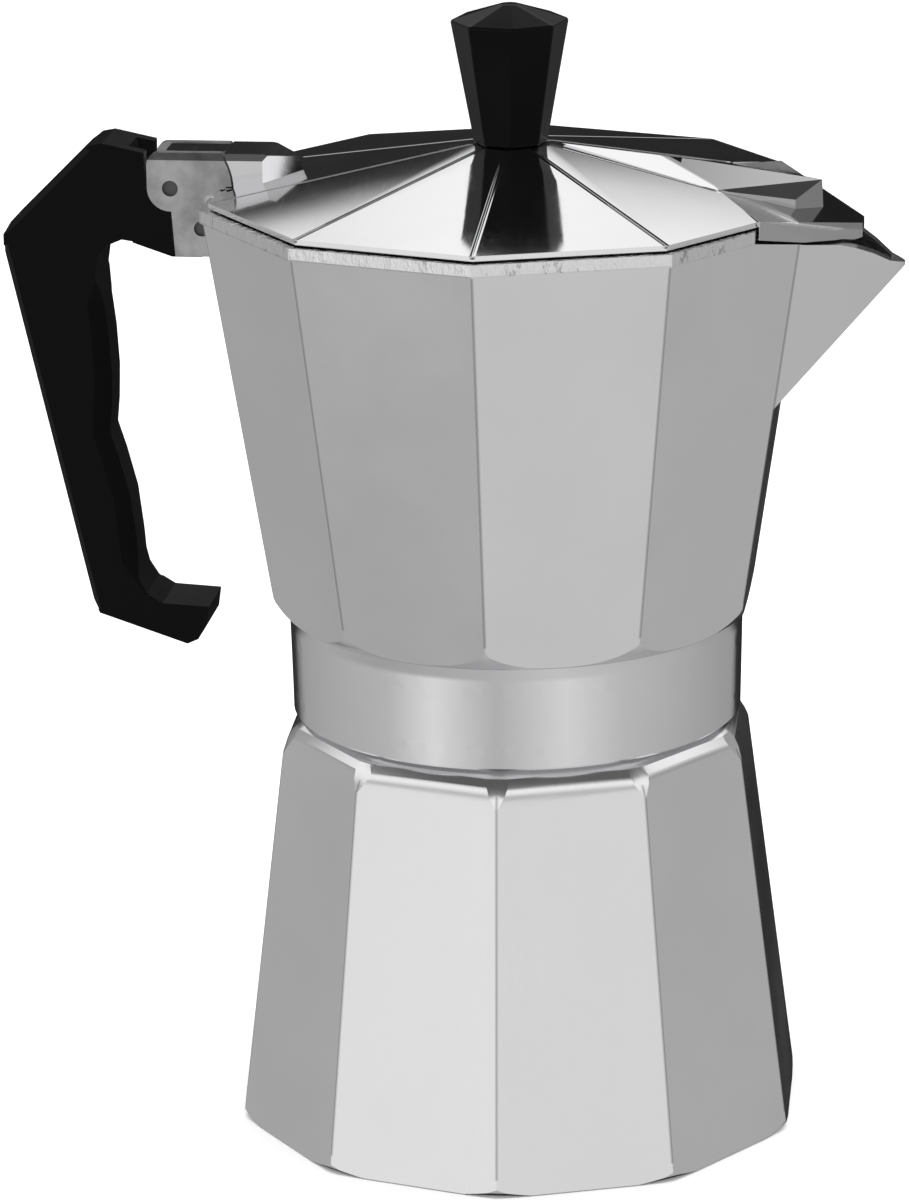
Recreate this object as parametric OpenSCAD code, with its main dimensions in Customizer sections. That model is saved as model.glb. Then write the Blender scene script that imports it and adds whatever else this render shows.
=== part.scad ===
// Stovetop espresso pot with ten flat sides, about 200 mm tall.
// A lower boiler, a lift-out coffee funnel, a screwed-on collector with spout, a hinged lid and a handle.
// Millimetres. Origin at the centre of the base on the table, +Z up, +X towards the spout.

/* [Part to show] */
// Name of one node, or all

/* [Boiler] */
// Corner radius of the ten-sided boiler at the table
boiler_base_r = 51.8; // [45:0.1:60]
// Corner radius of the boiler at its shoulder
boiler_top_r = 42.3; // [36:0.1:50]
// Height of the boiler's flat shoulder
shoulder_z = 74.6; // [60:0.1:90]
// Wall thickness at the boiler's floor
boiler_floor_t = 4; // [2:0.5:8]
// Angle by which the boiler's corners are ahead of the collector's when screwed tight
boiler_turn = 2; // [-18:0.5:18]

/* [Screw joint] */
// Core radius of the boiler's threaded neck
neck_r = 35.5; // [30:0.1:40]
// Height of the top of the neck
neck_top_z = 84.6; // [80:0.1:92]
// Rise of the thread in one turn
thread_pitch = 3.2; // [2:0.1:5]
// Height of the thread ridge
thread_depth = 1.0; // [0.5:0.1:1.5]
// Gap between the thread flanks and crests
thread_gap = 0.3; // [0.2:0.05:0.5]

/* [Collector] */
// Outer radius of the turned collar at its lower end
collar_r = 40.1; // [36:0.1:46]
// Height of the collar's lower edge
collar_z = 74.9; // [74:0.1:80]
// Height at which the collar meets the undercut of the ten-sided body
collar_top_z = 93.4; // [88:0.1:98]
// Corner radius of the collector at the rim
rim_r = 55.2; // [48:0.1:62]
// Height of the rim
rim_z = 168; // [150:0.5:185]
// Side taper of the collector, corner radius gained per mm of height
flare = 0.157; // [0.05:0.005:0.25]
// Wall thickness of the collector
wall_t = 3; // [2:0.1:5]
// Height of the plain machined band under the rim
band_h = 2.2; // [1:0.1:4]
// Height of the coffee column's closed tip
column_top_z = 138; // [120:1:150]

/* [Spout] */
// Height at which the spout leaves the body
spout_low_z = 134; // [120:1:150]
// Distance of the spout's lip from the axis
spout_tip_x = 68.9; // [60:0.5:75]
// Height of the spout's lip
spout_tip_z = 156.3; // [150:0.5:165]

/* [Lid] */
// Corner radius of the lid
lid_r = 53.5; // [45:0.1:60]
// Height of the lid's lower face
lid_z = 168.3; // [168.2:0.05:170]
// Thickness of the lid at its edge
lid_edge_t = 0.9; // [0.8:0.1:3]
// Height of the lid's flat top under the knob
lid_top_z = 177.3; // [172:0.1:185]

/* [Knob] */
// Radius of the knob's corners at its wide upper edge
knob_r = 10.4; // [8:0.1:14]
// Radius of the knob's corners at its foot
knob_foot_r = 6.5; // [4:0.1:9]
// Height of the knob's upper edge
knob_edge_z = 199; // [190:0.5:205]
// Height of the knob's tip
knob_tip_z = 201.8; // [195:0.1:210]

/* [Hinge and handle] */
// Distance of the hinge pin behind the axis
hinge_x = -59.5; // [-65:0.1:-54]
// Height of the hinge pin
hinge_z = 169.5; // [165:0.1:175]
// Radius of the hinge pin
hinge_pin_r = 1.4; // [1:0.1:2.5]
// Width of the handle and of the hinge
handle_w = 13; // [10:0.5:18]
// Distance of the handle's cross pin behind the axis
cross_pin_x = -54.1; // [-57:0.1:-52]
// Height of the handle's cross pin
cross_pin_z = 162.3; // [158:0.1:165]

/* [Hidden] */
sides = 10;
half_step = 180 / sides;
flat_ratio = cos(half_step);
tip = 0.01;
fine = 96;
small_fine = 48;

neck_base_z = shoulder_z - 0.6;
thread_start_z = 76.2;
thread_turns = 2.1;
thread_steps_per_turn = 40;
thread_root_w = 1.7;
thread_crest_w = 0.8;
ring_seat_z = neck_top_z + 0.85;
ring_t = 4;
plate_z = ring_seat_z + ring_t + 0.05;
plate_t = 0.8;
floor_z = 98;
collar_bore_r = neck_r + thread_gap;
chamber_r = 37.0;
plate_r = 32.2;
undercut_z = 98.4;
valve_z = 40;
valve_angle = 108 + boiler_turn;
half_w = handle_w / 2;
ear_inner = 3.7;
knuckle_half = 3.45;
ear_reach = 11.0;
tab_reach = 11.35;
hinge_top = 6.2;
hinge_round = 4.1;
pin_fit = 0.05;
hinge_chamfer = 1.6;

// ---------------------------------------------------------------- shared shapes

// A ten-sided frustum with flats facing +X and -X
module decagon_frustum(low_r, high_r, low_z, high_z) {
    translate([0, 0, low_z])
        rotate([0, 0, half_step])
            cylinder(h = high_z - low_z, r1 = low_r, r2 = high_r, $fn = sides);
}

// A solid of revolution from a list of [radius, height] points
module turned(points) {
    rotate_extrude($fn = fine) polygon(points);
}

// A cylinder along Y, centred on y = 0
module y_rod(x, z, r, length, segments = small_fine) {
    translate([x, length / 2, z]) rotate([90, 0, 0]) cylinder(h = length, r = r, $fn = segments);
}

// A side profile in the X-Z plane pulled out to a width along Y, centred
module side_slab(width) {
    rotate([90, 0, 0]) linear_extrude(height = width, center = true) children();
}

// Takes a small chamfer off both long edges between two outline points
module edge_chamfer(from, to, size) {
    run = norm(to - from);
    lean = atan2(to[1] - from[1], to[0] - from[0]);
    for (s = [-1, 1])
        translate([from[0], s * half_w, from[1]])
            rotate([0, -lean, 0])
                rotate([45, 0, 0])
                    translate([-1, -size / 2, -size / 2])
                        cube([run + 2, size, size]);
}

// Points of the rectangle-like thread section at one station of the helix
function thread_station(angle, inner_r, outer_r, root_w, crest_w, z) = [
    [inner_r * cos(angle), inner_r * sin(angle), z - root_w / 2],
    [outer_r * cos(angle), outer_r * sin(angle), z - crest_w / 2],
    [outer_r * cos(angle), outer_r * sin(angle), z + crest_w / 2],
    [inner_r * cos(angle), inner_r * sin(angle), z + root_w / 2]
];

// A right-hand helical ridge, its ends tapering to nothing
module helix_ridge(inner_r, outer_r, root_w, crest_w, start_z, turns, start_angle = 0) {
    steps = round(turns * thread_steps_per_turn);
    fade = thread_steps_per_turn / 6;
    rise = thread_pitch / thread_steps_per_turn;
    points = [for (i = [0:steps])
        let (grow = min(1, i / fade, (steps - i) / fade))
        let (crest_r = inner_r + 0.25 + (outer_r - inner_r - 0.25) * grow)
        for (p = thread_station(start_angle + i * 360 / thread_steps_per_turn, inner_r, crest_r,
                                root_w, crest_w, start_z + i * rise)) p];
    sides_of_ridge = [for (i = [0:steps - 1], k = [0:3])
        let (a = 4 * i + k, b = 4 * i + (k + 1) % 4)
        each [[a, b, a + 4], [b, b + 4, a + 4]]];
    last = 4 * steps;
    caps = [[0, 2, 1], [0, 3, 2], [last, last + 1, last + 2], [last, last + 2, last + 3]];
    polyhedron(points = points, faces = concat(sides_of_ridge, caps), convexity = 6);
}

// ---------------------------------------------------------------- boiler and its safety valve

// Corner radius of the boiler's straight taper
function boiler_r(z) = boiler_base_r - (boiler_base_r - boiler_top_r) * z / shoulder_z;

// The rounded shoulder as [distance below the flat top, corner radius taken off]
shoulder_round = [[5.6, 0], [3.8, 0.35], [2.4, 0.95], [1.2, 1.8], [0.4, 2.85], [0, 3.8]];

// The outside of the boiler, its bottom corners and the corners of its shoulder turned to round
module boiler_outside() {
    intersection() {
        rotate([0, 0, boiler_turn])
            hull() {
                decagon_frustum(boiler_base_r, boiler_base_r, 0, tip);
                for (step = shoulder_round) {
                    z = shoulder_z - step[0];
                    decagon_frustum(boiler_r(z) - step[1], boiler_r(z) - step[1], z - tip, z);
                }
            }
        turned([[0, 0], [50.2, 0], [51.2, 0.8], [52.2, 2.6], [52.2, 10], [44.2, 66.5], [43.0, 68.8],
                [42.0, 70.8], [41.1, 72.2], [40.1, 73.4], [38.9, 74.2], [37.9, shoulder_z], [0, shoulder_z]]);
    }
}

// Places its children on the hidden back face of the boiler, +X pointing out of the wall
module at_valve() {
    rotate([0, 0, valve_angle]) translate([wall_face_x, 0, valve_z]) rotate([0, -wall_lean, 0]) children();
}

wall_lean = atan(flat_ratio * (boiler_base_r - boiler_top_r) / shoulder_z);
wall_face_x = flat_ratio * (boiler_base_r - (boiler_base_r - boiler_top_r) * valve_z / shoulder_z);

module boiler() {
    color("silver")
    difference() {
        union() {
            boiler_outside();
            translate([0, 0, neck_base_z]) cylinder(h = neck_top_z - neck_base_z, r = neck_r, $fn = fine);
            helix_ridge(neck_r - 0.4, neck_r + thread_depth, thread_root_w, thread_crest_w,
                        thread_start_z, thread_turns);
        }
        turned([[0, boiler_floor_t], [40, boiler_floor_t], [43.5, boiler_floor_t + 1.2],
                [44.6, boiler_floor_t + 4], [37.2, 64], [35, 67.5], [31.6, 70], [31.6, neck_top_z + 1], [0, neck_top_z + 1]]);
        for (groove_r = [22, 36])
            turned([[groove_r, -1], [groove_r + 1.6, -1], [groove_r + 1.6, 0.5], [groove_r, 0.5]]);
        at_valve() rotate([0, 90, 0]) translate([0, 0, -12]) cylinder(h = 24, r = 4, $fn = small_fine);
        at_valve() rotate([0, 90, 0]) cylinder(h = 6, r = 8.6, $fn = small_fine);
    }
}

// Sealing washer between the valve's hexagon and the spot face on the boiler
module valve_washer() {
    color("firebrick")
    at_valve() rotate([0, 90, 0])
        difference() {
            cylinder(h = 1, r = 7.6, $fn = small_fine);
            translate([0, 0, -1]) cylinder(h = 3, r = 4.05, $fn = small_fine);
        }
}

// Brass valve body: a threaded shank through the wall, a hexagon and a hollow nose
module valve_body() {
    color("goldenrod")
    at_valve() rotate([0, 90, 0])
        difference() {
            union() {
                translate([0, 0, -6]) cylinder(h = 8, r = 3.95, $fn = small_fine);
                translate([0, 0, 1]) rotate([0, 0, 30]) cylinder(h = 4, r = 7.2, $fn = 6);
                translate([0, 0, 4.5]) cylinder(h = 3.5, r = 4.8, $fn = small_fine);
            }
            translate([0, 0, -4.5]) cylinder(h = 13, r = 2.9, $fn = small_fine);
            translate([0, 0, -7]) cylinder(h = 4, r = 1.3, $fn = small_fine);
        }
}

// Cap pressed into the valve's nose, with the hole the plunger shows through
module valve_cap() {
    color("gold")
    at_valve() rotate([0, 90, 0])
        difference() {
            union() {
                translate([0, 0, 6]) cylinder(h = 2, r = 2.9, $fn = small_fine);
                translate([0, 0, 8]) cylinder(h = 0.8, r = 4.4, $fn = small_fine);
            }
            translate([0, 0, 5]) cylinder(h = 5, r = 1.3, $fn = small_fine);
        }
}

// Plunger that the spring holds on the inner seat
module valve_plunger() {
    color("khaki")
    at_valve() rotate([0, 90, 0])
        union() {
            translate([0, 0, -4.45]) cylinder(h = 1.6, r = 2.3, $fn = small_fine);
            translate([0, 0, -3]) cylinder(h = 12.6, r = 0.9, $fn = small_fine);
        }
}

// Coil spring around the plunger
module valve_spring() {
    wire_r = 0.3;
    coil_r = 1.75;
    turns = 6;
    steps_per_turn = 16;
    low = -2.45;
    high = 5.6;
    steps = turns * steps_per_turn;
    ring = 6;
    points = [for (i = [0:steps])
        let (angle = i * 360 / steps_per_turn, z = low + (high - low) * i / steps)
        for (k = [0:ring - 1])
            let (q = k * 360 / ring, r = coil_r + wire_r * cos(q))
            [r * cos(angle), r * sin(angle), z + wire_r * sin(q)]];
    tube = [for (i = [0:steps - 1], k = [0:ring - 1])
        let (a = ring * i + k, b = ring * i + (k + 1) % ring)
        each [[a, b, a + ring], [b, b + ring, a + ring]]];
    first_cap = [for (k = [1:ring - 2]) [0, k + 1, k]];
    last_cap = [for (k = [1:ring - 2]) [ring * steps, ring * steps + k, ring * steps + k + 1]];
    color("gray")
    at_valve() rotate([0, 90, 0])
        polyhedron(points = points, faces = concat(tube, first_cap, last_cap), convexity = 8);
}

// ---------------------------------------------------------------- funnel

// Cup for the ground coffee, its flange resting on the boiler's neck
module basket() {
    color("lightsteelblue")
    turned([[5.6, 53.2], [29.3, 57.4], [30.5, 58.6], [30.5, neck_top_z], [34.6, neck_top_z],
            [34.6, neck_top_z + 0.8], [29.7, neck_top_z + 0.8], [29.7, 58.9], [29.0, 58.2], [5.6, 54.0]]);
}

// Perforated disc on the floor of the cup
module basket_strainer() {
    hole_r = 0.9;
    color("gainsboro")
    difference() {
        translate([0, 0, 60]) cylinder(h = 0.7, r = 29.6, $fn = fine);
        for (ring = [1:4])
            for (k = [0:6 * ring - 1])
                rotate([0, 0, k * 60 / ring])
                    translate([ring * 6.2, 0, 59]) cylinder(h = 3, r = hole_r, $fn = 16);
        translate([0, 0, 59]) cylinder(h = 3, r = hole_r, $fn = 16);
    }
}

// Stem that the water rises through, flared where it joins the cup
module funnel_stem() {
    color("lightsteelblue")
    turned([[4.8, 8], [5.6, 8], [5.6, 53.2], [5.6, 54.0], [7.6, 54.4], [7.6, 55.2], [4.8, 54.7]]);
}

// ---------------------------------------------------------------- seal and filter

// Flat sealing ring between the funnel's flange and the collector
module gasket() {
    color("whitesmoke")
    turned([[28.6, ring_seat_z], [36.4, ring_seat_z], [36.7, ring_seat_z + 0.3],
            [36.7, ring_seat_z + ring_t - 0.3], [36.4, ring_seat_z + ring_t], [28.6, ring_seat_z + ring_t]]);
}

// Perforated filter plate above the ring
module filter_plate() {
    hole_r = 0.8;
    color("gainsboro")
    difference() {
        turned([[0, plate_z + 0.9], [26, plate_z + 0.9], [27.4, plate_z], [plate_r, plate_z],
                [plate_r, plate_z + plate_t], [27.7, plate_z + plate_t], [26.3, plate_z + 0.9 + plate_t],
                [0, plate_z + 0.9 + plate_t]]);
        for (ring = [1:5])
            for (k = [0:6 * ring - 1])
                rotate([0, 0, k * 60 / ring])
                    translate([ring * 4.8, 0, plate_z - 1]) cylinder(h = 5, r = hole_r, $fn = 16);
        translate([0, 0, plate_z - 1]) cylinder(h = 5, r = hole_r, $fn = 16);
    }
}

// ---------------------------------------------------------------- collector

function body_r(z) = rim_r - 0.25 - flare * (rim_z - z);

// Small marker that a hull is stretched over
module corner(x, y, z) {
    translate([x, y, z]) cube(tip, center = true);
}

// Ten-sided body with its lower corners turned away and a straight band under the rim
module body_outside() {
    intersection() {
        union() {
            decagon_frustum(body_r(92), body_r(rim_z - band_h), 92, rim_z - band_h);
            decagon_frustum(rim_r, rim_r, rim_z - band_h, rim_z);
        }
        turned([[0, 91.8], [40.4, 91.8], [40.8, collar_top_z], [41.7, 94.1], [42.6, 95.1], [43.5, 96.4],
                [44.3, undercut_z], [60, undercut_z + 0.1], [60, rim_z + 1], [0, rim_z + 1]]);
    }
}

// The side faces of the body run on past its corners, and the bottom slopes out to meet them
module spout_outside() {
    top = rim_z - band_h;
    hull()
        for (s = [-1, 1]) {
            corner(flat_ratio * body_r(spout_low_z), s * sin(half_step) * body_r(spout_low_z), spout_low_z);
            corner(flat_ratio * body_r(top), s * sin(half_step) * body_r(top), top);
            corner(36, s * 12, spout_low_z);
            corner(36, s * 16, top);
            corner(65.7, s * 3.5, spout_tip_z - 0.2);
            corner(spout_tip_x - 1.3, s * 2.0, spout_tip_z - 0.2);
            corner(spout_tip_x - 0.5, s * 1.2, spout_tip_z - 0.2);
            corner(spout_tip_x, s * 0.5, spout_tip_z + 0.3);
            corner(spout_tip_x - 1.9, s * 4.1, top);
            corner(spout_tip_x - 0.6, s * 2.6, top);
            corner(spout_tip_x, s * 1.0, top);
        }
}

// Hollow of the spout, open to the chamber
module spout_inside() {
    top = rim_z + 1;
    hull()
        for (s = [-1, 1]) {
            corner(30, s * 10, spout_low_z + 4.5);
            corner(45.2, s * 11.4, spout_low_z + 4.5);
            corner(30, s * 25, top);
            corner(45, s * 19.4, top);
            corner(57.4, s * 5.6, 150.6);
            corner(62.9, s * 2.1, 157.6);
            corner(64.6, s * 3.0, top);
            corner(66.3, s * 1.3, top);
            corner(66.8, s * 0.5, top);
            corner(66.6, s * 0.6, 158);
        }
}

// Everything above the sloping edge of the spout
module above_spout_edge() {
    side_slab(80)
        polygon([[44.9, rim_z - band_h], [52.3, 163.4], [58.3, 162.3], [61, 161.2], [63.7, 159.8],
                 [66.5, 157.9], [spout_tip_x + 0.2, 157.1], [spout_tip_x + 6, 156.8],
                 [spout_tip_x + 6, rim_z + 5], [44.9, rim_z + 5]]);
}

// Side outline of the fixed hinge ears behind the rim
module ear_outline() {
    intersection() {
        translate([hinge_x, hinge_z]) circle(r = ear_reach, $fn = fine);
        union() {
            translate([hinge_x, hinge_z]) circle(r = hinge_round, $fn = small_fine);
            translate([hinge_x - hinge_round, hinge_z]) square([12, hinge_top - 2]);
            translate([hinge_x - hinge_round + 2, hinge_z]) square([22, hinge_top]);
            translate([hinge_x - hinge_round + 2, hinge_z + hinge_top - 2]) circle(r = 2, $fn = small_fine);
            translate([hinge_x, hinge_z - hinge_round]) square([9, hinge_round]);
        }
    }
}

// Two ears that hold the hinge pin, and the cheeks below them that hold the handle's tongue
module bracket() {
    cheek_w = half_w - 0.3 - ear_inner;
    for (s = [-1, 1]) {
        difference() {
            translate([0, s * (half_w + ear_inner) / 2, 0])
                side_slab(half_w - ear_inner) ear_outline();
            edge_chamfer([hinge_x - 8, hinge_z + hinge_top], [hinge_x + 14, hinge_z + hinge_top],
                         hinge_chamfer);
        }
        translate([0, s * (ear_inner + cheek_w / 2), 0])
            side_slab(cheek_w)
                polygon([[-58.9, 157.3], [-49.6, 157.3], [-49.6, 166.4], [-59.5, 166.4]]);
    }
}

// Coffee column: a tapered tube closed at the top, with two outlet slots
module column() {
    difference() {
        turned([[0, floor_z - 1], [10, floor_z - 1], [9.2, floor_z + 1.5], [7, column_top_z - 3],
                [5.5, column_top_z - 0.8], [3.5, column_top_z], [0, column_top_z]]);
        turned([[0, 90], [4.6, 90], [4.0, 110], [3.6, column_top_z - 3.5], [2.4, column_top_z - 2.4],
                [0, column_top_z - 2.4]]);
        translate([-10, -1.6, column_top_z - 10]) cube([20, 3.2, 5.5]);
    }
}

module collector() {
    color("silver") {
        difference() {
            union() {
                body_outside();
                turned([[0, collar_z], [collar_r - 0.4, collar_z], [collar_r, collar_z + 0.4],
                        [collar_r + 0.4, collar_top_z], [0, collar_top_z]]);
                spout_outside();
                bracket();
            }
            chamber();
            spout_inside();
            above_spout_edge();
            collar_inside();
            y_rod(hinge_x, hinge_z, hinge_pin_r + 0.02, 2 * handle_w);
            y_rod(cross_pin_x, cross_pin_z, 1.37, 2 * handle_w);
        }
        column();
    }
}

// Coffee chamber, its floor corner rounded
module chamber() {
    inset = wall_t / flat_ratio;
    intersection() {
        decagon_frustum(body_r(floor_z) - inset, body_r(rim_z + 2) - inset, floor_z, rim_z + 2);
        turned([[0, floor_z], [36.5, floor_z], [38.6, floor_z + 0.8], [40.2, floor_z + 2.4], [41.2, floor_z + 5],
                [60, floor_z + 8], [60, rim_z + 3], [0, rim_z + 3]]);
    }
}

// Threaded bore, ring seat, plate seat and the cone that leads up to the column
module collar_inside() {
    turned([[0, collar_z - 1], [collar_bore_r + 0.8, collar_z - 1], [collar_bore_r, collar_z + 0.8],
            [collar_bore_r, neck_top_z - 1.6], [chamber_r, neck_top_z - 1.2], [chamber_r, plate_z - 0.02],
            [plate_r + 0.1, plate_z - 0.02], [plate_r + 0.1, plate_z + plate_t],
            [27.9, plate_z + plate_t], [26.6, plate_z + 1.6], [4.6, 95.6], [4.6, 97], [0, 97]]);
    helix_ridge(collar_bore_r - 0.5, neck_r + thread_depth + thread_gap, thread_root_w + 0.7,
                thread_crest_w + 0.7, thread_start_z - thread_pitch, thread_turns + 1.6);
}

// ---------------------------------------------------------------- lid

lid_edge_z = lid_z + lid_edge_t;
lid_flat_r = 7.4;
cover_back = [37.8, 12.1, 171.4];
cover_root = [45.4, 24.8, 169.3];
cover_side = [57.5, 9.5, 164.5];
cover_nose = [61.6, 2.6, 164.4];

function lid_facet_z(x) = lid_edge_z + (flat_ratio * lid_r - x) * (lid_top_z - lid_edge_z)
    / (flat_ratio * (lid_r - lid_flat_r));

// Ten-sided shell with a small flat top
module lid_shell() {
    difference() {
        union() {
            decagon_frustum(lid_r, lid_flat_r, lid_edge_z, lid_top_z);
            decagon_frustum(lid_r, lid_r, lid_z, lid_edge_z);
        }
        decagon_frustum(lid_r - 5, lid_flat_r, lid_z - 0.1, lid_top_z - 2.2);
    }
}

// A layer of the spout cover between two distances below its upper corners
module cover_layer(upper, lower, inset) {
    hull()
        for (s = [-1, 1], drop = [upper, lower]) {
            corner(cover_back[0], s * (cover_back[1] - inset), cover_back[2] - drop);
            corner(cover_root[0] - inset / 2, s * (cover_root[1] - inset), cover_root[2] - drop);
            corner(cover_side[0] - inset / 2, s * (cover_side[1] - inset), cover_side[2] - drop);
            corner(cover_nose[0], s * cover_nose[1], cover_nose[2] - drop);
        }
}

// Everything lower than a line just above the spout's sloping edge
module below_spout_edge() {
    side_slab(80)
        polygon([[30, 150], [30, lid_z], [45.2, lid_z], [45.2, rim_z - band_h + 0.35], [52.4, 163.8],
                 [58.4, 162.7], [61.1, 161.6], [63.8, 160.2], [spout_tip_x + 6, 150]]);
}

// Sloping cover over the spout with side skirts and an open front
module spout_cover() {
    difference() {
        cover_layer(0, 4.4, 0);
        cover_layer(1.8, 9, 1.9);
        translate([58.2, -8.2, 150]) cube([20, 16.4, 11.9]);
        below_spout_edge();
    }
}

// Low roof that carries the front facet on above the spout cover
module cover_roof() {
    hull() {
        corner(9, 0, lid_top_z - 0.1);
        corner(9, 0, lid_top_z - 1.7);
        corner(33, 0, 174.5);
        corner(54.4, 0, 171.4);
        corner(54.6, 0, 166);
        for (s = [-1, 1]) {
            corner(cover_back[0] - 1, s * (cover_back[1] - 0.5), lid_facet_z(36.4) - 0.1);
            corner(cover_back[0], s * (cover_back[1] - 0.5), cover_back[2] - 1.6);
            for (low = [0, 3])
                corner(50.3, s * 7.6, lid_facet_z(50.3) + 0.1 - low);
        }
    }
}

// Hinge tab: a knuckle between the ears and a full-width block on the rear facet
module hinge_tab() {
    top_z = hinge_z + hinge_top - 0.1;
    front_x = -43;
    difference() {
        union() {
            side_slab(2 * knuckle_half) {
                translate([hinge_x, hinge_z]) circle(r = hinge_round - 0.1, $fn = small_fine);
                polygon([[hinge_x - 1.2, top_z], [-46, top_z], [-46, 169.4], [-50, 168.7], [hinge_x, 168.7],
                         [hinge_x - 3.5, hinge_z + 2], [hinge_x - 2.8, hinge_z + 4.7]]);
            }
            difference() {
                hull() {
                    side_slab(2 * half_w - 0.1)
                        polygon([[-51, top_z], [front_x, top_z], [front_x, 169.9], [-44, 169.4],
                                 [-51, lid_z + 0.1]]);
                    corner(front_x + 6.2, 0, 174.2);
                    corner(front_x + 6.2, 0, 170.5);
                }
                y_rod(hinge_x, hinge_z, tab_reach, 2 * handle_w, fine);
            }
        }
        y_rod(hinge_x, hinge_z, hinge_pin_r + pin_fit, 2 * handle_w);
        edge_chamfer([hinge_x, top_z + 0.05], [front_x + 1.5, top_z + 0.05], hinge_chamfer);
    }
}

module lid() {
    color("gainsboro")
    difference() {
        union() {
            difference() {
                lid_shell();
                cover_layer(-6, 8, -0.02);
                translate([-56, 0, 165])
                    for (s = [-1, 1])
                        translate([0, s * 5.1 - 1.7, 0]) cube([7.75, 3.4, 12]);
            }
            spout_cover();
            intersection() {
                cover_roof();
                union() {
                    cover_layer(-8, 1.5, 0);
                    decagon_frustum(lid_r, lid_flat_r, lid_edge_z - 1, lid_top_z + 4);
                    translate([30, -13, 160]) cube([30, 26, 30]);
                }
            }
            hinge_tab();
        }
        translate([0, 0, 170]) cylinder(h = 10, r = 2.1, $fn = small_fine);
    }
}

// ---------------------------------------------------------------- knob

// Eight-sided knob, wider at the top, with a low pointed cap
module knob() {
    color("dimgray")
    difference() {
        rotate([0, 0, 9])
            union() {
                translate([0, 0, lid_top_z + 0.02])
                    cylinder(h = knob_edge_z - lid_top_z - 0.02, r1 = knob_foot_r, r2 = knob_r, $fn = 8);
                translate([0, 0, knob_edge_z])
                    cylinder(h = knob_tip_z - knob_edge_z, r1 = knob_r, r2 = 1.5, $fn = 8);
            }
        translate([0, 0, lid_top_z - 1]) cylinder(h = 13, r = 3.0, $fn = small_fine);
    }
}

// Threaded metal insert moulded into the knob
module knob_insert() {
    color("gold")
    difference() {
        translate([0, 0, lid_top_z + 0.02]) cylinder(h = 11.9, r = 3.0, $fn = small_fine);
        translate([0, 0, lid_top_z - 1]) cylinder(h = 12, r = 2.0, $fn = small_fine);
    }
}

lid_under_z = lid_top_z - 2.2;

// Screw from inside the lid into the knob
module knob_screw() {
    color("lightgray")
    difference() {
        union() {
            translate([0, 0, lid_under_z - 3]) cylinder(h = 2.2, r = 3.6, $fn = small_fine);
            translate([0, 0, lid_under_z - 1]) cylinder(h = 12.6, r = 1.98, $fn = small_fine);
        }
        translate([-4, -0.5, lid_under_z - 3.5]) cube([8, 1, 1.4]);
    }
}

// Washer under the screw's head
module knob_washer() {
    color("gray")
    difference() {
        translate([0, 0, lid_under_z - 0.8]) cylinder(h = 0.78, r = 5, $fn = small_fine);
        translate([0, 0, lid_under_z - 2]) cylinder(h = 4, r = 2.1, $fn = small_fine);
    }
}

// ---------------------------------------------------------------- hinge pin, handle and its pin

module hinge_pin() {
    color("darkgray") y_rod(hinge_x, hinge_z, hinge_pin_r, handle_w - 1.8);
}

module handle_pin() {
    color("darkgray") y_rod(cross_pin_x, cross_pin_z, 1.35, handle_w - 2);
}

grip_low = [-67.4, 98];
grip_mid = [-72.1, 124.6];
grip_high = [-73.4, 153.4];

// Side outline of the handle: top, outer elbow, long back, hooked foot and finger side
module handle_outline() {
    polygon([[-64.0, 175.8], [-71.4, 177.4], [-73.6, 177.0], [-75.4, 175.7], [-88.4, 162.9],
             [-89.6, 160.8], [-89.6, 157.6],
             [-75.7, 93.8], [-74.5, 91.5], [-58.7, 86.1], [-56.7, 87.0], [-55.1, 89.6], [-54.6, 93.1],
             [-63.0, 93.6], [-65.9, 95.4], grip_low, [-67.9, 105.2], [-68.8, 112.7], [-70.6, 119.8], grip_mid,
             [-71.6, 129.2], [-71.4, 135.2], [-71.8, 142.6], [-72.6, 149.4], grip_high, [-72.9, 156.8],
             [-71.0, 159.1], [-68.4, 160.2], [-65.2, 159.7], [-61.6, 158.4], [-59.2, 157.6],
             [-59.7, 166.5], [-64.0, 169.5]]);
}

// Wedge that takes the edges off the finger side, fading out at both ends
module grip_wedge(size) {
    path = [[grip_low[0] + size + 1.5, 95], [grip_low[0] - 0.2, 101], [-68.8, 112.7], [-70.6, 119.8],
            grip_mid, [-71.5, 135.2], [-71.8, 142.6], [-72.4, 148.5], [grip_high[0] + size + 1.5, 156]];
    points = [for (p = path)
        each [[p[0] + 1, half_w - size - 1, p[1]], [p[0] - size - 1, half_w + 1, p[1]],
              [p[0] + 1, half_w + 1, p[1]]]];
    last = 3 * (len(path) - 1);
    walls = [for (i = [0:3:last - 1], k = [0:2])
        let (a = i + k, b = i + (k + 1) % 3)
        each [[a, b, a + 3], [b, b + 3, a + 3]]];
    polyhedron(points = points, faces = concat(walls, [[0, 2, 1], [last, last + 1, last + 2]]),
               convexity = 4);
}

module handle() {
    color("dimgray")
    difference() {
        union() {
            difference() {
                side_slab(handle_w) handle_outline();
                y_rod(hinge_x, hinge_z, hinge_round + 0.1, 2 * handle_w);
                grip_wedge(2.6);
                mirror([0, 1, 0]) grip_wedge(2.6);
                edge_chamfer([-88.9, 162.4], [-75.0, 176.0], 1.4);
                edge_chamfer([-75.5, 93], [-89.6, 157.8], 1.4);
            }
            side_slab(2 * 3.6)
                polygon([[-67, 164.8], [-52.8, 164.8], [-52.8, 158.3], [-54.6, 156.6], [-60, 156.6],
                         [-67, 159]]);
        }
        intersection() {
            y_rod(hinge_x, hinge_z, 6.9, 2 * (knuckle_half + 0.35), fine);
            translate([-80, -10, 164.9]) cube([30, 20, 20]);
        }
        side_slab(2 * (knuckle_half + 0.35))
            polygon([[-60, hinge_z], [-66.3, hinge_z], [-67.5, 180], [-60, 180]]);
        y_rod(cross_pin_x, cross_pin_z, 1.37, 2 * handle_w);
    }
}

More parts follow.
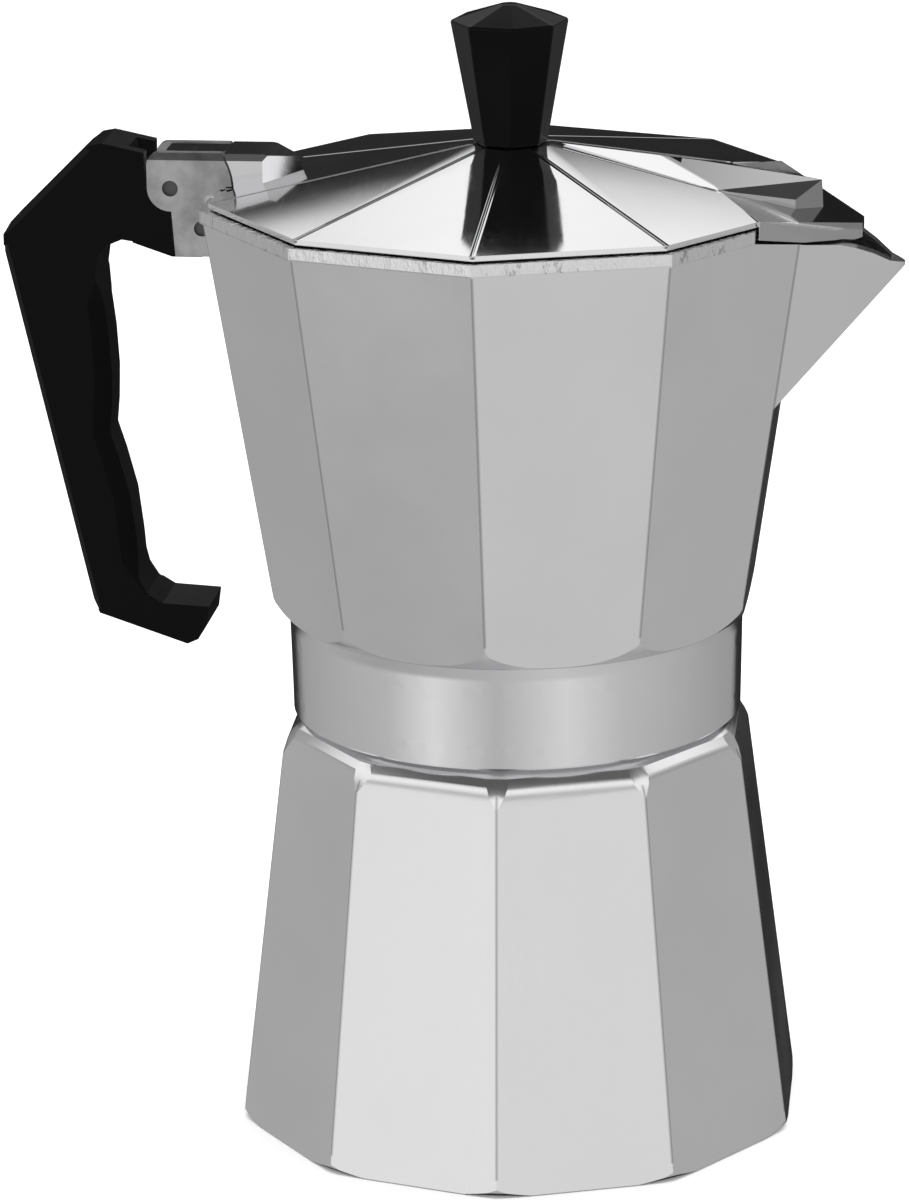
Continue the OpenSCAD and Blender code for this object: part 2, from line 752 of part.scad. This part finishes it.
// ---------------------------------------------------------------- the nodes

boiler();
valve_body();
valve_washer();
valve_plunger();
valve_spring();
valve_cap();
basket();
basket_strainer();
funnel_stem();
gasket();
filter_plate();
collector();
lid();
knob();
knob_insert();
knob_screw();
knob_washer();
hinge_pin();
handle();
handle_pin();
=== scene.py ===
import math

import bmesh
import bpy
from mathutils import Matrix, Vector


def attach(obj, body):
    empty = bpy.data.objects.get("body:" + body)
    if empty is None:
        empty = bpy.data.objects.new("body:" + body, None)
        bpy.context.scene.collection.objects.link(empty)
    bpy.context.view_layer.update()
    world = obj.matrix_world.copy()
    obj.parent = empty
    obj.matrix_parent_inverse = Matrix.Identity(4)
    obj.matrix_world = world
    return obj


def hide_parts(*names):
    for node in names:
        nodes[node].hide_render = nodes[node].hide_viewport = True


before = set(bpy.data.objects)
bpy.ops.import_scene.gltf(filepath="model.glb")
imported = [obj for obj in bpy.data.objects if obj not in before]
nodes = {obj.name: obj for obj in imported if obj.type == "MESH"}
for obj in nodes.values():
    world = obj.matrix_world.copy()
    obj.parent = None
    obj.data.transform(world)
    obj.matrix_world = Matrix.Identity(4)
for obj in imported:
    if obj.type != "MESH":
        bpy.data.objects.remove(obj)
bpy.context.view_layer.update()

MM = 0.001
SIDES = 10
SIDE_ANGLE = math.tau / SIDES

# Boiler: how far its ridges are turned from the collector's, in degrees, and the heights they run between
BOILER_TURN = 2
BOILER_RIDGES = (3 * MM, 71 * MM)

# Collector: heights of the ridges, the collar's top and the machined rim, and where the hinge ears begin
COLLECTOR_RIDGES = (98 * MM, 165.9 * MM)
COLLAR_TOP = 94 * MM
RIM_BOTTOM = 165.8 * MM
RIM_TOP = 168.2 * MM
EARS_X = -52.5 * MM

# Lid: heights of its raised lines, and the distance at which the spout's cover cuts them off
LID_LINES = (168.6 * MM, 179 * MM)
LID_LINES_END = 36 * MM

# Lid roof over the spout: its fall towards the spout and the sides, and its height on the axis
ROOF_FALL = 0.345
ROOF_SIDE_FALL = 0.04
ROOF_HEIGHT = 184.2 * MM

# Lid cover over the spout, seen from above: a point on the fold where it starts, and that fold's direction
FOLD_POINT = (37.8 * MM, 12.1 * MM)
FOLD_RUN = (7.6, 12.7)


# ---------------------------------------------------------------- node helpers

class Graph:
    """A node tree and short calls that add nodes to it."""

    def __init__(self, tree):
        self.tree = tree

    def node(self, kind, **values):
        made = self.tree.nodes.new("ShaderNode" + kind)
        for key, value in values.items():
            setattr(made, key, value)
        return made

    def link(self, source, target):
        self.tree.links.new(source, target)

    def ramp(self, source, stops):
        """Maps a factor through (position, value or colour) stops."""
        made = self.node("ValToRGB")
        elements = made.color_ramp.elements
        while len(elements) < len(stops):
            elements.new(0.5)
        for element, (position, value) in zip(elements, stops):
            element.position = position
            element.color = (*value, 1) if isinstance(value, tuple) else (value, value, value, 1)
        self.link(source, made.inputs["Fac"])
        return made.outputs["Color"]

    def calc(self, operation, *values):
        """One Math node. Each value is a number or a socket."""
        made = self.node("Math", operation=operation)
        for socket, value in zip(made.inputs, values):
            if isinstance(value, (int, float)):
                socket.default_value = value
            else:
                self.link(value, socket)
        return made.outputs["Value"]

    def blend(self, factor, first, second):
        """Mixes two colours, each a socket or a triple."""
        made = self.node("Mix", data_type="RGBA")
        self.link(factor, made.inputs["Factor"])
        for socket, value in ((made.inputs[6], first), (made.inputs[7], second)):
            if isinstance(value, tuple):
                socket.default_value = (*value, 1)
            else:
                self.link(value, socket)
        return made.outputs[2]


class Shader(Graph):
    """A material under construction around a Principled shader."""

    def __init__(self, name):
        self.material = bpy.data.materials.new(name)
        self.material.use_nodes = True
        super().__init__(self.material.node_tree)
        self.bsdf = self.tree.nodes["Principled BSDF"]
        self.place = self.node("TexCoord").outputs["Object"]

    def stretched(self, scale, turn=(0, 0, 0)):
        """Object coordinates scaled per axis."""
        made = self.node("Mapping")
        made.inputs["Scale"].default_value = scale
        made.inputs["Rotation"].default_value = turn
        self.link(self.place, made.inputs["Vector"])
        return made.outputs["Vector"]

    def noise(self, scale, detail=3.0, rough=0.5, vector=None):
        made = self.node("TexNoise")
        made.inputs["Scale"].default_value = scale
        made.inputs["Detail"].default_value = detail
        made.inputs["Roughness"].default_value = rough
        self.link(vector or self.place, made.inputs["Vector"])
        return made.outputs["Fac"]

    def span(self, source, from_low, from_high, low, high):
        """Maps a value from one range to another, clamped and smooth."""
        made = self.node("MapRange", interpolation_type="SMOOTHSTEP")
        made.inputs["From Min"].default_value = from_low
        made.inputs["From Max"].default_value = from_high
        made.inputs["To Min"].default_value = low
        made.inputs["To Max"].default_value = high
        self.link(source, made.inputs["Value"])
        return made.outputs["Result"]

    def bump(self, height, strength, distance, under=None):
        made = self.node("Bump")
        made.inputs["Strength"].default_value = strength
        made.inputs["Distance"].default_value = distance
        self.link(height, made.inputs["Height"])
        if under is not None:
            self.link(under, made.inputs["Normal"])
        return made.outputs["Normal"]

    def axes(self):
        """The object's own x, y and z."""
        made = self.node("SeparateXYZ")
        self.link(self.place, made.inputs["Vector"])
        return made.outputs["X"], made.outputs["Y"], made.outputs["Z"]

    def ridge(self, turn, width, heights):
        """One along the ten upright ridges, falling to nothing a width away, between two heights."""
        x, y, z = self.axes()
        around = self.calc("ARCTAN2", y, x)
        side = self.calc("MULTIPLY_ADD", around, 1 / SIDE_ANGLE, SIDES - turn * SIDES / 360)
        off = self.calc("ABSOLUTE", self.calc("SUBTRACT", self.calc("FRACT", side), 0.5))
        squares = [self.calc("MULTIPLY", axis, axis) for axis in (x, y)]
        radius = self.calc("SQRT", self.calc("ADD", *squares))
        distance = self.calc("MULTIPLY", self.calc("SINE", self.calc("MULTIPLY", off, SIDE_ANGLE)), radius)
        line = self.span(distance, 0.0, width, 1.0, 0.0)
        low, high = heights
        fade = 0.5 * MM
        above_low = self.span(z, low, low + fade, 0.0, 1.0)
        below_high = self.span(z, high - fade, high, 1.0, 0.0)
        return self.calc("MULTIPLY", line, self.calc("MULTIPLY", above_low, below_high))

    def finish(self, color=None, rough=None, normal=None, **constants):
        if color is not None:
            self.link(color, self.bsdf.inputs["Base Color"])
        if rough is not None:
            self.link(rough, self.bsdf.inputs["Roughness"])
        if normal is not None:
            self.link(normal, self.bsdf.inputs["Normal"])
        for key, value in constants.items():
            self.bsdf.inputs[key.replace("_", " ")].default_value = value
        return self.material


def grey(value):
    return (value, value, value)


def darker(tone, share):
    return tuple(part * share for part in tone)


# ---------------------------------------------------------------- materials

def cast_surface(look, tone, rough, turn, ridge_heights):
    """Colour, roughness and normal of cast aluminium: clouding, grain, pits and a painted dark reflection
    along each ridge.
    """
    cloud = look.noise(38, 4, 0.55)
    grain = look.noise(2600, 2, 0.6, look.stretched((1, 1, 0.25)))
    pits = look.noise(900, 2, 0.5)
    line = look.ridge(turn, 0.42 * MM, ridge_heights)
    color = look.ramp(cloud, [(0.30, darker(tone, 0.95)), (0.70, tone)])
    # Painted reflection: each ridge is darkened in its colour to a thin dark line
    color = look.blend(look.calc("MULTIPLY", line, 0.6), color, darker(tone, 0.30))
    clouded = look.span(cloud, 0.3, 0.7, rough - 0.03, rough + 0.03)
    rough_map = look.calc("ADD", clouded, look.span(grain, 0.3, 0.7, -0.02, 0.02))
    wave = look.bump(look.noise(32, 2, 0.4), 0.30, 0.6 * MM)
    pitted = look.bump(look.span(pits, 0.68, 0.80, 1.0, 0.0), 0.06, 0.1 * MM, wave)
    normal = look.bump(grain, 0.05, 0.04 * MM, pitted)
    return color, rough_map, normal


def boiler_casting():
    look = Shader("cast_aluminium_boiler")
    return look.finish(*cast_surface(look, CAST_TONE, 0.17, BOILER_TURN, BOILER_RIDGES), Metallic=1.0)


def collector_casting():
    """The same casting with tool marks on the rim, a smoother collar and dull, stained hinge ears."""
    look = Shader("cast_aluminium_collector")
    color, rough_map, normal = cast_surface(look, CAST_TONE, 0.20, 0, COLLECTOR_RIDGES)
    x, y, z = look.axes()

    marks = look.noise(520, 3, 0.7, look.stretched((1, 1, 0.5)))
    above_bottom = look.span(z, RIM_BOTTOM, RIM_BOTTOM + 0.3 * MM, 0.0, 1.0)
    below_top = look.span(z, RIM_TOP - 0.1 * MM, RIM_TOP + 0.1 * MM, 1.0, 0.0)
    clear_of_ears = look.span(x, EARS_X - 1 * MM, EARS_X, 0.0, 1.0)
    on_rim = look.calc("MULTIPLY", look.calc("MULTIPLY", above_bottom, below_top), clear_of_ears)
    normal = look.bump(look.calc("MULTIPLY", marks, on_rim), 0.5, 0.5 * MM, normal)
    dark_marks = look.calc("MULTIPLY", look.span(marks, 0.58, 0.68, 0.0, 0.55), on_rim)
    color = look.blend(dark_marks, color, grey(0.25))

    collar = look.span(z, COLLAR_TOP - 0.5 * MM, COLLAR_TOP + 0.5 * MM, 1.0, 0.0)
    rough_map = look.calc("SUBTRACT", rough_map, look.calc("MULTIPLY", collar, 0.10))

    behind = look.span(x, EARS_X - 0.5 * MM, EARS_X + 0.5 * MM, 1.0, 0.0)
    above = look.span(z, RIM_TOP, RIM_TOP + 0.2 * MM, 0.0, 1.0)
    ears = look.calc("MAXIMUM", behind, above)
    stain = look.noise(160, 3, 0.6)
    stained = look.ramp(stain, [(0.35, darker(CAST_TONE, 0.42)), (0.65, darker(CAST_TONE, 0.66))])
    color = look.blend(ears, color, stained)
    rough_map = look.calc("ADD", rough_map, look.calc("MULTIPLY", ears, 0.14))
    return look.finish(color, rough_map, normal, Metallic=1.0)


def lid_polish():
    """Polished aluminium: fine marks, raised lines, a sanded cover and a painted dark reflection on the
    roof over the spout.
    """
    look = Shader("polished_aluminium")
    tone = (0.86, 0.86, 0.87)
    rough = 0.07
    x, y, z = look.axes()
    across = look.calc("ABSOLUTE", y)
    marks = look.noise(1500, 3, 0.6, look.stretched((1, 0.08, 1), (0, 0, 0.5)))
    smear = look.noise(60, 3, 0.5)

    past_point = look.calc("MULTIPLY", look.calc("SUBTRACT", x, FOLD_POINT[0]), FOLD_RUN[1])
    beside_point = look.calc("MULTIPLY", look.calc("SUBTRACT", across, FOLD_POINT[1]), FOLD_RUN[0])
    past_fold = look.span(look.calc("SUBTRACT", past_point, beside_point), 0.0, 3 * MM, 0.0, 1.0)
    level = look.calc("ADD", z, look.calc("MULTIPLY", x, ROOF_FALL))
    level = look.calc("SUBTRACT", level, look.calc("MULTIPLY", across, ROOF_SIDE_FALL))
    roof_edge = (ROOF_HEIGHT, ROOF_HEIGHT + 0.3 * MM)
    cover = look.calc("MULTIPLY", past_fold, look.span(level, *roof_edge, 1.0, 0.0))

    to_edge = look.calc("SUBTRACT", across, look.calc("MULTIPLY", x, math.tan(SIDE_ANGLE / 2)))
    in_sector = look.span(to_edge, 0.0, -0.3 * MM, 0.0, 1.0)
    roof = look.calc("MULTIPLY", in_sector, look.span(x, 9 * MM, 12 * MM, 0.0, 1.0))
    roof = look.calc("MULTIPLY", roof, look.span(level, *roof_edge, 0.0, 1.0))
    # Painted reflection: the roof sector over the spout is darkened in its colour, more towards the knob
    # than at the spout
    painted_reflection_share = look.calc("MULTIPLY", roof, look.span(x, 20 * MM, 50 * MM, 0.85, 0.6))

    color = look.ramp(smear, [(0.3, darker(tone, 0.96)), (0.7, tone)])
    color = look.blend(cover, color, darker(tone, 0.62))
    color = look.blend(painted_reflection_share, color, darker(tone, 0.12))

    smeared = look.span(smear, 0.3, 0.7, rough - 0.02, rough + 0.03)
    rough_map = look.calc("ADD", smeared, look.span(marks, 0.5, 0.8, 0.0, 0.05))
    rough_map = look.calc("ADD", rough_map, look.calc("MULTIPLY", cover, 0.26))

    lines_end = look.span(x, LID_LINES_END, LID_LINES_END + 2 * MM, 1.0, 0.0)
    line = look.calc("MULTIPLY", look.ridge(0, 0.62 * MM, LID_LINES), lines_end)
    wave = look.bump(look.noise(40, 2, 0.4), 0.10, 0.4 * MM)
    scuffs = look.bump(look.calc("MULTIPLY", look.noise(640, 3, 0.7), cover), 0.18, 0.4 * MM, wave)
    normal = look.bump(line, 1.0, 0.22 * MM, look.bump(marks, 0.03, 0.04 * MM, scuffs))
    return look.finish(color, rough_map, normal, Metallic=1.0)


def turned_metal(name, tone, rough):
    """Lathe-turned metal: fine level rings and light clouding."""
    look = Shader(name)
    rings = look.noise(1.0, 2, 0.5, look.stretched((12, 12, 3800)))
    cloud = look.noise(50, 3, 0.5)
    color = look.ramp(cloud, [(0.3, darker(tone, 0.95)), (0.7, tone)])
    clouded = look.span(cloud, 0.3, 0.7, rough - 0.03, rough + 0.04)
    rough_map = look.calc("ADD", clouded, look.span(rings, 0.4, 0.7, 0.0, 0.05))
    normal = look.bump(rings, 0.18, 0.05 * MM)
    return look.finish(color, rough_map, normal, Metallic=1.0)


def black_plastic():
    """Black moulded phenolic with faint orange peel and dust."""
    look = Shader("black_plastic")
    dust = look.noise(2200, 2, 0.5)
    peel = look.noise(320, 2, 0.5)
    cloud = look.noise(45, 3, 0.5)
    color = look.ramp(dust, [(0.76, grey(0.002)), (0.84, grey(0.012))])
    rough_map = look.span(cloud, 0.3, 0.7, 0.20, 0.28)
    normal = look.bump(peel, 0.05, 0.2 * MM)
    return look.finish(color, rough_map, normal, Specular_IOR_Level=0.08)


def soft_seal(name, tone, rough):
    """Moulded rubber or fibre: matt, slightly mottled, finely grained."""
    look = Shader(name)
    cloud = look.noise(90, 4, 0.6)
    grain = look.noise(3000, 2, 0.5)
    color = look.ramp(cloud, [(0.3, darker(tone, 0.85)), (0.7, tone)])
    rough_map = look.span(grain, 0.3, 0.7, rough - 0.06, rough + 0.08)
    return look.finish(color, rough_map, look.bump(grain, 0.2, 0.1 * MM))


def valve_brass():
    """Machined brass with tool rings and slight tarnish."""
    look = Shader("valve_brass")
    tarnish = look.noise(260, 4, 0.6)
    rings = look.noise(2400, 2, 0.5, look.stretched((1, 1, 3)))
    color = look.ramp(tarnish, [(0.3, (0.50, 0.34, 0.13)), (0.7, (0.76, 0.56, 0.25))])
    rough_map = look.span(tarnish, 0.3, 0.7, 0.34, 0.20)
    return look.finish(color, rough_map, look.bump(rings, 0.15, 0.08 * MM), Metallic=1.0)


CAST_TONE = (0.82, 0.82, 0.83)
LOWER_CAST = boiler_casting()
UPPER_CAST = collector_casting()
POLISHED = lid_polish()
SPUN = turned_metal("spun_aluminium", (0.74, 0.74, 0.75), 0.30)
STEEL = turned_metal("bright_steel", (0.56, 0.56, 0.57), 0.22)
# Painted shade: the pins are given a near-black tone to stand for the shaded holes they sit in
DULL_STEEL_PAINTED_SHADE = turned_metal("dull_steel_painted_shade", grey(0.13), 0.42)
PLASTIC = black_plastic()
RUBBER = soft_seal("seal_rubber", (0.84, 0.82, 0.76), 0.62)
FIBRE = soft_seal("red_fibre", (0.42, 0.09, 0.06), 0.7)
BRASS = valve_brass()

MATERIAL_OF = {
    "boiler": LOWER_CAST, "collector": UPPER_CAST, "lid": POLISHED, "knob": PLASTIC, "handle": PLASTIC,
    "valve_body": BRASS, "valve_cap": BRASS, "valve_plunger": BRASS, "knob_insert": BRASS,
    "valve_washer": FIBRE, "gasket": RUBBER, "valve_spring": STEEL, "knob_screw": STEEL,
    "knob_washer": STEEL, "hinge_pin": DULL_STEEL_PAINTED_SHADE, "handle_pin": DULL_STEEL_PAINTED_SHADE,
    "basket": SPUN, "basket_strainer": SPUN, "funnel_stem": SPUN, "filter_plate": SPUN,
}


def dress(obj, material):
    obj.data.materials.clear()
    obj.data.materials.append(material)


for name, material in MATERIAL_OF.items():
    dress(nodes[name], material)


# ---------------------------------------------------------------- rounded copies of castings and mouldings

def cleaned_mesh(source, name, cuts):
    """A copy of a CAD mesh with welded points, merged flat faces and level cuts at the given heights."""
    weld = 0.003 * MM
    mesh = source.data.copy()
    mesh.name = name
    if "custom_normal" in mesh.attributes:
        mesh.attributes.remove(mesh.attributes["custom_normal"])
    work = bmesh.new()
    work.from_mesh(mesh)
    bmesh.ops.remove_doubles(work, verts=work.verts, dist=weld)
    bmesh.ops.dissolve_degenerate(work, edges=work.edges, dist=weld)
    bmesh.ops.dissolve_limit(work, angle_limit=math.radians(0.4), verts=work.verts, edges=work.edges)
    for height in cuts:
        everything = work.verts[:] + work.edges[:] + work.faces[:]
        bmesh.ops.bisect_plane(work, geom=everything, plane_co=(0, 0, height), plane_no=(0, 0, 1))
    for face in work.faces:
        face.smooth = True
    work.to_mesh(mesh)
    work.free()
    return mesh


def rounded_copy(node, name, body, width, steps, angle, cuts=()):
    """A copy of a CAD node whose edges sharper than an angle are broken by a small round.

    Cuts part a turned side from a scalloped edge, so that the side shades evenly.
    """
    made = bpy.data.objects.new(name, cleaned_mesh(nodes[node], name, cuts))
    bpy.context.scene.collection.objects.link(made)
    bevel = made.modifiers.new("edges", "BEVEL")
    bevel.width = width
    bevel.segments = steps
    bevel.limit_method = "ANGLE"
    bevel.angle_limit = math.radians(angle)
    bevel.harden_normals = True
    bevel.miter_outer = "MITER_ARC"
    bevel.use_clamp_overlap = True
    dress(made, MATERIAL_OF[node])
    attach(made, body)
    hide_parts(node)
    return made


COLLAR_CUTS = [height * MM for height in range(77, 94, 2)]

rounded_copy("boiler", "boiler_casting", "boiler", 0.35 * MM, 3, 14)
rounded_copy("collector", "collector_casting", "top", 0.35 * MM, 3, 14, COLLAR_CUTS)
rounded_copy("lid", "lid_pressing", "lid", 0.3 * MM, 3, 8)
grip = rounded_copy("handle", "handle_moulding", "top", 0.9 * MM, 4, 20)
rounded_copy("knob", "knob_moulding", "lid", 0.5 * MM, 4, 12)

# The castings beside the handle would mirror it as a black patch
grip.visible_glossy = False


# ---------------------------------------------------------------- floor, world, light and camera

def floor_material():
    look = Shader("pale_floor")
    color = look.ramp(look.noise(3, 2, 0.5), [(0.3, grey(0.93)), (0.7, grey(0.95))])
    return look.finish(color, Roughness=0.9)


def make_floor():
    """A level sheet just under the base. Polished metal doesn't mirror it."""
    half = 8.0
    gap = 0.2 * MM
    corners = [(-half, -half, 0), (half, -half, 0), (half, half, 0), (-half, half, 0)]
    mesh = bpy.data.meshes.new("floor")
    mesh.from_pydata(corners, [], [(0, 1, 2, 3)])
    mesh.materials.append(floor_material())
    made = bpy.data.objects.new("floor", mesh)
    bpy.context.scene.collection.objects.link(made)
    made.location.z = -gap
    made.visible_glossy = False


def studio_brightness(graph):
    """Brightness by direction: one ramp round the horizon, one round below it and one by height above.

    A turn of 0.5 faces -Y and 0.75 faces +X. A height of 0.5 is level and 1 is straight up.
    """
    split = graph.node("SeparateXYZ")
    graph.link(graph.node("TexCoord").outputs["Generated"], split.inputs["Vector"])
    height = graph.calc("MULTIPLY_ADD", split.outputs["Z"], 0.5, 0.5)
    front = graph.calc("MULTIPLY", split.outputs["Y"], -1.0)
    side = graph.calc("ARCTAN2", split.outputs["X"], front)
    turn = graph.calc("MULTIPLY_ADD", side, 1 / math.tau, 0.5)
    below = graph.ramp(turn, [
        (0.0, 0.03), (0.085, 0.05), (0.13, 0.40), (0.18, 0.46), (0.30, 0.42), (0.38, 0.47), (0.48, 0.52),
        (0.58, 0.66), (0.68, 0.57), (0.78, 0.50), (0.92, 0.36), (0.95, 0.05), (1.0, 0.03)])
    level = graph.ramp(turn, [
        (0.0, 0.02), (0.085, 0.03), (0.125, 0.38), (0.20, 0.46), (0.33, 0.60), (0.40, 0.98), (0.49, 0.52),
        (0.59, 0.85), (0.67, 0.58), (0.80, 0.46), (0.92, 0.36), (0.945, 0.03), (1.0, 0.02)])
    above = graph.ramp(height, [
        (0.65, 0.10), (0.705, 0.78), (0.74, 0.98), (0.77, 1.08), (0.815, 1.08), (0.838, 0.25), (0.90, 0.12),
        (1.0, 0.10)])
    brightness = graph.blend(graph.ramp(height, [(0.27, 0.0), (0.35, 1.0)]), below, level)
    brightness = graph.blend(graph.ramp(height, [(0.63, 0.0), (0.69, 1.0)]), brightness, above)
    return height, brightness


def make_world():
    """A pale backdrop, and for light and reflections a studio whose brightness changes with direction."""
    world = bpy.data.worlds.new("studio")
    bpy.context.scene.world = world
    world.use_nodes = True
    world.node_tree.nodes.clear()
    graph = Graph(world.node_tree)
    height, brightness = studio_brightness(graph)
    pale = graph.ramp(height, [(0.0, 0.94), (1.0, 0.96)])
    seen_directly = graph.node("LightPath").outputs["Is Camera Ray"]
    background = graph.node("Background")
    graph.link(graph.blend(seen_directly, brightness, pale), background.inputs["Color"])
    graph.link(background.outputs["Background"], graph.node("OutputWorld").inputs["Surface"])


def make_light():
    """A large soft panel overhead, aimed at the pot. Polished metal doesn't mirror it."""
    place = Vector((0.0, 0.1, 1.4))
    target = Vector((0.0, 0.0, 0.1))
    light = bpy.data.lights.new("overhead", "AREA")
    light.shape = "RECTANGLE"
    light.size = 2.4
    light.size_y = 2.0
    light.energy = 46
    made = bpy.data.objects.new("overhead", light)
    bpy.context.scene.collection.objects.link(made)
    made.location = place
    made.rotation_mode = "QUATERNION"
    made.rotation_quaternion = (target - place).to_track_quat("-Z", "Y")
    made.visible_glossy = False


def make_camera():
    """Long lens, a little to the right of the front and above the lid."""
    place = Vector((118.8, -951.4, 379.9)) * MM
    azimuth, elevation, roll = (math.radians(value) for value in (7.776, 16.605, -0.843))
    ahead = math.cos(elevation)
    forward = Vector((-math.sin(azimuth) * ahead, math.cos(azimuth) * ahead, -math.sin(elevation)))
    level = Vector((math.cos(azimuth), math.sin(azimuth), 0))
    upward = level.cross(forward)
    right = level * math.cos(roll) + upward * math.sin(roll)
    up = upward * math.cos(roll) - level * math.sin(roll)
    camera = bpy.data.cameras.new("camera")
    camera.sensor_width = 36
    camera.lens = 167.84
    camera.clip_start = 0.01
    camera.clip_end = 50
    made = bpy.data.objects.new("camera", camera)
    bpy.context.scene.collection.objects.link(made)
    made.rotation_mode = "QUATERNION"
    made.rotation_quaternion = Matrix((right, up, -forward)).transposed().to_quaternion()
    made.location = place
    bpy.context.scene.camera = made


make_floor()
make_world()
make_light()
make_camera()
bpy.context.scene.view_settings.view_transform = "Standard"
